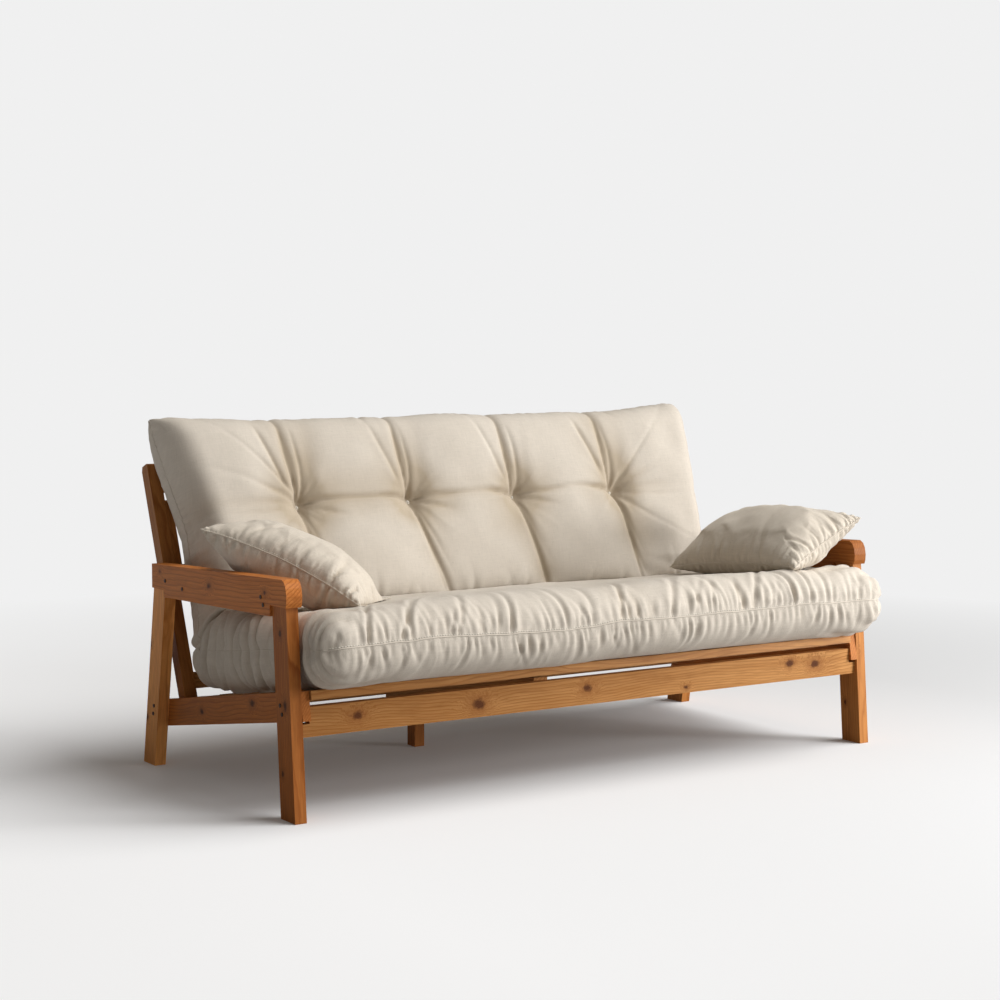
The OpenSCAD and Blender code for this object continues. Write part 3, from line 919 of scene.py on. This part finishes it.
def pine(name, grain, heart, tone, knots, seed, red=1.0, fade=0.0):
    """Oiled pine. grain is the direction of the fibres, heart the side that the rings are centred on,
    knots lists (place, radius), tone and red scale the colour, and fade paints shade over the left of a long
    board, where less light falls."""

    def dye(tint, ruddy=1.0):
        return tint[0] * tone, tint[1] * tone * ruddy, tint[2] * tone * ruddy**2

    mat, n, shader = new_material(name)
    along = Vector(grain).normalized()
    over = Vector(heart)
    over = (over - over.dot(along) * along).normalized()
    third = along.cross(over)
    coord = n.add("TexCoord").outputs["Object"]
    x, y, z = (n.measure("DOT_PRODUCT", coord, tuple(axis)) for axis in (along, over, third))
    push, dark, nearest = knot_fields(n, coord, (along, over, third), (x, y, z), knots)

    def layer(scale, across, shift, detail, rough):
        """Noise that is drawn out along the grain."""
        return n.noise(join(n, x, y, z, (scale, across, across), seed + shift), 1.0, detail, rough)

    bend, wander = layer(1.6, 5.0, 0.0, 2.0, 0.5), layer(5.0, 22.0, 3.1, 3.0, 0.55)
    rings_per_metre = 95.0
    phase = n.plus(n.times(n.plus(n.times(y, 0.55), z), rings_per_metre), n.times(bend, 9.0))
    phase = n.plus(phase, n.times(wander, 1.6))
    if knots:
        phase = n.plus(phase, n.times(push, 3.4))
    ring = n.math("FRACT", phase)
    late = n.ramp(ring, ((0.0, 0.05), (0.55, 0.22), (0.86, 1.0), (0.94, 0.55), (1.0, 0.05)))
    fibre, streak = layer(14.0, 620.0, 0.0, 3.0, 0.6), layer(2.2, 60.0, 9.0, 3.0, 0.6)
    cloud, stain = layer(2.0, 6.0, 5.0, 2.0, 0.5), layer(6.0, 16.0, 7.0, 4.0, 0.6)
    base = n.mix(n.times(late, 0.84), dye(EARLY_WOOD, red), dye(LATE_WOOD, red))
    base = n.mix(n.range(streak, 0.38, 0.70, 0.0, 0.62), base, dye(STREAK, red))
    base = n.mix(n.range(cloud, 0.30, 0.72, 0.0, 0.45), base, dye(CLOUD, red))
    base = n.mix(n.range(stain, 0.54, 0.80, 0.0, 0.45), base, dye(STAIN))
    base = n.mix(n.range(fibre, 0.30, 0.75, 0.0, 0.52), base, dye(FIBRE))
    # painted shade: towards its left end a long board darkens, standing in for the light falling off there
    if fade:
        base = n.mix(n.range(x, -0.9, 0.75, fade, 0.0), base, dye(LEFT_END_SHADE))
    if knots:
        swirl = n.math("FRACT", n.times(nearest, 3.2))
        knot_tone = n.mix(n.times(swirl, 0.6), dye(KNOT_PALE), dye(KNOT_DARK))
        base = n.mix(n.range(nearest, 0.9, 2.6, 0.55, 0.0), base, dye(KNOT_RIM))
        base = n.mix(dark, base, knot_tone)
    shine = n.plus(fibre, n.times(late, 0.3))
    relief = n.plus(n.times(fibre, 0.6), n.times(late, -0.35))
    n.fill(shader, {
        "Base Color": base, "Roughness": n.range(shine, 0.3, 1.1, 0.50, 0.36),
        "Normal": n.bump(relief, 0.35, 0.0006), "Specular IOR Level": 0.10,
    })
    return mat


def linen(name, tint, thread, seed):
    """Woven cotton and linen: crossing threads, slubs, a soft bloom and painted shade in the folds."""
    mat, n, shader = new_material(name)
    at = n.add("Attribute", attribute_name="cloth_at", attribute_type="GEOMETRY").outputs["Vector"]
    u, v, _ = n.split(at)
    waver = n.noise(at, 22.0, 2.0, 0.5)
    turns = 2 * math.pi / thread
    pu = n.plus(n.times(u, turns), n.times(waver, 5.0))
    pv = n.plus(n.times(v, turns), n.times(waver, 5.0))
    warp = n.math("SINE", n.times(pu, 0.5))
    weft = n.math("SINE", n.times(pv, 0.5))
    pick = n.math("GREATER_THAN", n.times(warp, weft), 0.0)
    raised = [n.math("POWER", n.math("ABSOLUTE", wave), 0.6) for wave in (warp, weft)]
    weave = n.mix(pick, *raised)
    slub_u = n.noise(join(n, u, v, 0.0, (30.0, 620.0, 1.0), seed), 1.0, 2.0, 0.6)
    slub_v = n.noise(join(n, u, v, 0.0, (620.0, 30.0, 1.0), seed + 4.0), 1.0, 2.0, 0.6)
    blotch = n.noise(at, 7.0, 3.0, 0.55)
    pale, deep = scaled(tint, 1.07), scaled(tint, 0.88)
    colour = n.mix(n.range(slub_u, 0.30, 0.72), deep, pale)
    colour = n.mix(0.5, colour, n.mix(n.range(slub_v, 0.30, 0.72), deep, pale))
    colour = n.mix(n.range(blotch, 0.30, 0.72, 0.0, 0.22), colour, deep)
    fleck = n.noise(join(n, u, v, 0.0, (95.0, 330.0, 1.0), seed + 8.0), 1.0, 1.0, 0.5)
    colour = n.mix(n.range(fleck, 0.70, 0.80, 0.0, 0.35), colour, scaled(tint, 0.55))
    gap = n.range(weave, 0.05, 0.45, 0.16, 0.0)
    colour = n.mix(gap, colour, scaled(tint, 0.45))
    # painted shade: the cloth darkens to a warm brown in the bottoms of its folds, by their depth
    painted_fold_shade = n.add("Attribute", attribute_name="valley", attribute_type="GEOMETRY").outputs["Fac"]
    warm = (tint[0] * 0.62, tint[1] * 0.54, tint[2] * 0.42)
    colour = n.mix(n.times(n.math("POWER", painted_fold_shade, 1.5), 0.70), colour, warm)
    soft = n.bump(n.noise(at, 60.0, 4.0, 0.6), 0.22, 0.0016)
    height = n.plus(weave, n.times(n.plus(slub_u, slub_v), 0.35))
    n.fill(shader, {
        "Base Color": colour, "Normal": n.bump(height, 0.40, 0.00045, soft), "Roughness": 0.93,
        "Specular IOR Level": 0.22, "Sheen Weight": 0.30, "Sheen Roughness": 0.45,
        "Sheen Tint": (1.0, 0.96, 0.90, 1),
    })
    return mat


def thread_material(name, tint):
    """Twisted cotton thread."""
    mat, n, shader = new_material(name)
    at = n.add("TexCoord").outputs["Object"]
    twist = n.noise(at, 900.0, 2.0, 0.6)
    n.fill(shader, {
        "Base Color": n.mix(n.range(twist, 0.3, 0.7), scaled(tint, 0.8), tint),
        "Normal": n.bump(twist, 0.4, 0.0003), "Roughness": 0.85, "Sheen Weight": 0.2,
    })
    return mat


def steel(name, tint, rough, metal):
    """Brushed, slightly spotted steel."""
    mat, n, shader = new_material(name)
    at = n.add("TexCoord").outputs["Object"]
    brushed = n.noise(join(n, *n.split(at), (30.0, 900.0, 900.0), 0.0), 1.0, 3.0, 0.6)
    spots = n.noise(at, 130.0, 4.0, 0.6)
    n.fill(shader, {
        "Base Color": n.mix(n.range(spots, 0.35, 0.7), tint, scaled(tint, 0.72)),
        "Roughness": n.range(brushed, 0.3, 0.7, rough - 0.07, rough + 0.12),
        "Normal": n.bump(brushed, 0.15, 0.0002), "Metallic": metal,
    })
    return mat


def paint(obj, mat):
    obj.data.materials.clear()
    obj.data.materials.append(mat)


futon_cloth = linen("Futon_linen", (0.622, 0.563, 0.487), 0.0019, 1.0)
pillow_cloth = linen("Pillow_linen", (0.650, 0.582, 0.492), 0.0017, 6.0)
thread = thread_material("Seam_thread", (0.82, 0.78, 0.70))

for obj, mat in ((futon, futon_cloth), (futon_welt, futon_cloth), (futon_thread, thread), (ties, thread)):
    paint(obj, mat)
for cushion, welt, sewn in (left, right):
    paint(cushion, pillow_cloth)
    paint(welt, pillow_cloth)
    paint(sewn, thread)


def place_knots(name, spots):
    """Knots at (X, Y, Z, radius) as (place, radius); a None takes the middle of the node."""
    mid = [(a + b) / 2 for a, b in zip(*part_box(name))]
    return [(tuple(m if v is None else v for v, m in zip(s[:3], mid)), s[3]) for s in spots]


# directions of the fibres
FRONT_LEG, REAR_LEG, UPRIGHT, STILE = (0, 0.075, 1), (0, -0.17, 1), (0, 0, 1), (0, 0.38, 1)
ALONG, ARM, DECK = (1, 0, 0), (0, 1, -0.035), (0, 1, -0.167)

APRON_KNOTS = [
    (-0.80, None, 0.262, 0.012), (-0.42, None, 0.256, 0.015), (-0.055, None, 0.266, 0.011),
    (0.70, None, 0.272, 0.011), (0.80, None, 0.262, 0.013), (0.30, None, 0.236, 0.006),
]
ARM_KNOTS = [(None, -0.02, 0.575, 0.008), (None, 0.31, 0.585, 0.006), (None, -0.36, 0.590, 0.007)]
LEG_KNOTS = [(None, -0.43, 0.485, 0.008), (None, -0.455, 0.300, 0.009), (None, -0.44, 0.12, 0.006)]
REAR_KNOTS = [(None, 0.40, 0.36, 0.008), (None, 0.43, 0.14, 0.007)]
SIDE_KNOTS = [(None, -0.20, 0.270, 0.010), (None, 0.12, 0.200, 0.008)]
REAR_RAIL_KNOTS = [(0.5, None, None, 0.008), (-0.4, None, None, 0.007)]
SEAT_RAIL_KNOTS = [(-0.62, None, None, 0.006), (0.18, None, None, 0.005), (0.55, None, None, 0.006)]

# grain, heart side, tone, redness and knots of each board; tone gives each board its own colour, and the low
# tones of arm_right and side_rail_left, whose seen faces lie in shadow, also hold painted shade
WOOD = {
    "leg_front_left": (FRONT_LEG, (1, 0.3, 0), 0.70, 0.66, LEG_KNOTS),
    "leg_front_right": (FRONT_LEG, (1, 0.2, 0), 0.92, 0.80, LEG_KNOTS[1:]),
    "leg_rear_left": (REAR_LEG, (1, 0.3, 0), 1.42, 0.88, REAR_KNOTS),
    "leg_rear_right": (REAR_LEG, (1, 0.4, 0), 0.95, 0.80, REAR_KNOTS[:1]),
    "arm_left": (ARM, (1, 0, 0.2), 0.95, 0.68, ARM_KNOTS),
    "arm_right": (ARM, (1, 0, 0.3), 0.58, 0.66, ARM_KNOTS[:2]),
    "side_rail_left": (DECK, (1, 0, 0.3), 0.78, 0.66, SIDE_KNOTS),
    "side_rail_right": (DECK, (1, 0, 0.3), 0.95, 0.70, SIDE_KNOTS[:1]),
    "front_apron": (ALONG, (0, 1, 0.2), 1.02, 0.97, APRON_KNOTS),
    "rear_rail": (ALONG, (0, 1, 0.3), 0.92, 0.97, REAR_RAIL_KNOTS),
    "centre_spine": (DECK, (1, 0, 0.3), 0.92, 0.97, []),
    "centre_leg": (UPRIGHT, (1, 0.2, 0), 0.72, 0.70, []),
    "seat_front_rail": (ALONG, (0, 0.3, 1), 1.04, 0.97, SEAT_RAIL_KNOTS),
    "stile_left": (STILE, (1, 0.2, 0), 0.66, 0.80, [(None, None, 0.70, 0.007)]),
    "stile_right": (STILE, (1, 0.2, 0), 0.98, 0.97, [(None, None, 0.60, 0.007)]),
    "prop_leg_left": (STILE, (1, 0.3, 0), 0.95, 0.97, []),
    "prop_leg_right": (STILE, (1, 0.3, 0), 0.95, 0.97, []),
    "prop_bar": (ALONG, (0, 1, 0.3), 0.95, 0.97, [(0.35, None, None, 0.006)]),
}
# how strongly the painted shade darkens the left end of each long board
LEFT_END_SHADE_DEPTH = {"front_apron": 0.42, "seat_front_rail": 0.42}
for number, (name, (grain, heart, tone, red, knots_at)) in enumerate(WOOD.items(), 1):
    spots, fade = place_knots(name, knots_at), LEFT_END_SHADE_DEPTH.get(name, 0.0)
    paint(frame["nodes"][name], pine("Pine_" + name, grain, heart, tone, spots, number * 2.7, red, fade))
rails = pine("Pine_rails", ALONG, (0, 1, 0.4), 1.06, [], 31.0)
seat_slats = pine("Pine_seat_slats", DECK, (0.2, 0, 1), 1.10, [], 33.0)
back_slats = pine("Pine_back_slats", STILE, (0.2, 1, 0), 1.10, [], 35.0)
SHARED = {"seat_slat": seat_slats, "seat_batten": seat_slats, "back_slat": back_slats}
zinc = steel("Zinc_steel", (0.60, 0.60, 0.59), 0.34, 1.0)
bronze = steel("Dark_screws", (0.075, 0.045, 0.028), 0.48, 0.7)
PLATES = ("hinge", "prop_brackets", "prop_pins", "back_pivot", "seat_pivot")
# how far the edges of a piece are eased, by the start of its name
ROUNDED = {
    "leg": 0.0042, "arm": 0.0055, "stile": 0.0045, "side": 0.0035,
    "front_apron": 0.0035, "seat_front": 0.0045,
}


def by_start(name, table, otherwise):
    return next((value for start, value in table.items() if name.startswith(start)), otherwise)


for name, obj in frame["nodes"].items():
    if name.startswith(("futon", "tuft", "pillow")):
        continue
    if name in ("arm_screws", "leg_bolts"):
        mat, width = bronze, 0.0007
    elif name.startswith(PLATES):
        mat, width = zinc, 0.0006
    else:
        mat, width = by_start(name, SHARED, rails), by_start(name, ROUNDED, 0.0022)
    if name not in WOOD:
        paint(obj, mat)
    bevel = obj.modifiers.new("Eased_edges", "BEVEL")
    bevel.width = width
    bevel.segments = 3
    bevel.limit_method = "ANGLE"
    bevel.angle_limit = math.radians(38)
    bevel.harden_normals = False

# ---- what rides on what
for obj in (futon, futon_welt, futon_thread):
    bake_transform(obj)
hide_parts("futon_seat", "futon_back")
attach(ties, "futon_top")
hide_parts("tuft_ties")
resting = ((left, "pillow_left", "left_pillow"), (right, "pillow_right", "right_pillow"))
for (cushion, welt, sewn), node, body in resting:
    for part in (cushion, welt, sewn):
        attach(part, body)
    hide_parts(node)

# ---- stage, light and camera
BACKDROP = 0.872
GREY = (BACKDROP, BACKDROP, BACKDROP, 1)


def floor_paper():
    """Studio paper that fades into the backdrop and throws back less light than it shows. It carries painted
    shade towards the right and a faint painted glow that lifts its shadows.
    """
    mat, n, shader = new_material("Floor_paper")
    at = n.add("TexCoord").outputs["Object"]
    seen = n.add("LightPath").outputs["Is Camera Ray"]
    # painted shade and light: the paper runs from pale on the left to darker on the right, where the lamps
    # throw more light, so that the floor looks even
    paper = n.mix(n.range(n.split(at)[0], -1.2, 1.9), (0.915, 0.925, 0.945), (0.672, 0.682, 0.697))
    colour = n.mix(seen, (0.33, 0.315, 0.30), paper)
    n.fill(shader, {"Base Color": colour, "Roughness": 0.95, "Specular IOR Level": 0.05})
    glow = n.add("Emission")
    glow.inputs["Color"].default_value = GREY
    blend = n.add("MixShader")
    # even at the sofa a twenty-fifth of the backdrop's glow is mixed in, a painted light that lifts the
    # shadows on the floor
    n.put(blend.inputs[0], n.range(n.measure("LENGTH", at), 2.0, 4.4, 0.04, 1.0))
    n.link(shader.outputs[0], blend.inputs[1])
    n.link(glow.outputs[0], blend.inputs[2])
    out = [x for x in n.tree.nodes if x.type == "OUTPUT_MATERIAL"][0]
    n.link(blend.outputs[0], out.inputs[0])
    return mat


def build_floor():
    """A wide disc just under the feet."""
    bm = bmesh.new()
    bmesh.ops.create_circle(bm, cap_ends=True, segments=96, radius=40)
    obj = object_from(bm, "floor")
    obj.data.materials.append(floor_paper())
    obj.location = (0, 0, -0.0006)


def build_world():
    """An even grey backdrop for the eye and a weak warm glow for the light."""
    world = bpy.data.worlds.new("Studio")
    scene.world = world
    world.use_nodes = True
    n = Nodes(world.node_tree)
    n.clear()
    out, blend = n.add("OutputWorld"), n.add("MixShader")
    seen, glow = n.add("Background"), n.add("Background")
    seen.inputs[0].default_value = GREY
    glow.inputs[0].default_value = (1.0, 0.92, 0.82, 1)
    glow.inputs[1].default_value = 0.155
    n.link(n.add("LightPath").outputs["Is Camera Ray"], blend.inputs[0])
    n.link(glow.outputs[0], blend.inputs[1])
    n.link(seen.outputs[0], blend.inputs[2])
    n.link(blend.outputs[0], out.inputs[0])


build_floor()
build_world()


def light(name, kind, energy, aim):
    """A new light, turned so that it shines against the direction aim."""
    data = bpy.data.lights.new(name, kind)
    data.energy = energy
    obj = bpy.data.objects.new(name, data)
    obj.rotation_euler = Vector(aim).to_track_quat("Z", "Y").to_euler()
    scene.collection.objects.link(obj)
    return obj


key = light("Key", "SUN", 3.05, (0.80, -0.47, 1.08))
key.data.angle = 0.92
key.data.color = (1.0, 0.992, 0.975)
panel_at, panel_aim = Vector((3.2, -3.0, 1.05)), Vector((0.5, -0.2, 0.6))
panel = light("Side_panel", "AREA", 112, panel_at - panel_aim)
panel.data.shape = "DISK"
panel.data.size = 1.4
panel.location = panel_at

camera_data = bpy.data.cameras.new("Camera")
camera_data.sensor_width = 36
camera_data.lens = 72.3
camera = bpy.data.objects.new("Camera", camera_data)
camera.location = (-3.350, -5.021 + SHIFT_Y, 1.209)
camera.rotation_euler = (math.radians(85.81), 0, math.radians(-33.29))
scene.collection.objects.link(camera)
scene.camera = camera
scene.view_settings.view_transform = "Standard"
scene.view_settings.look = "None"
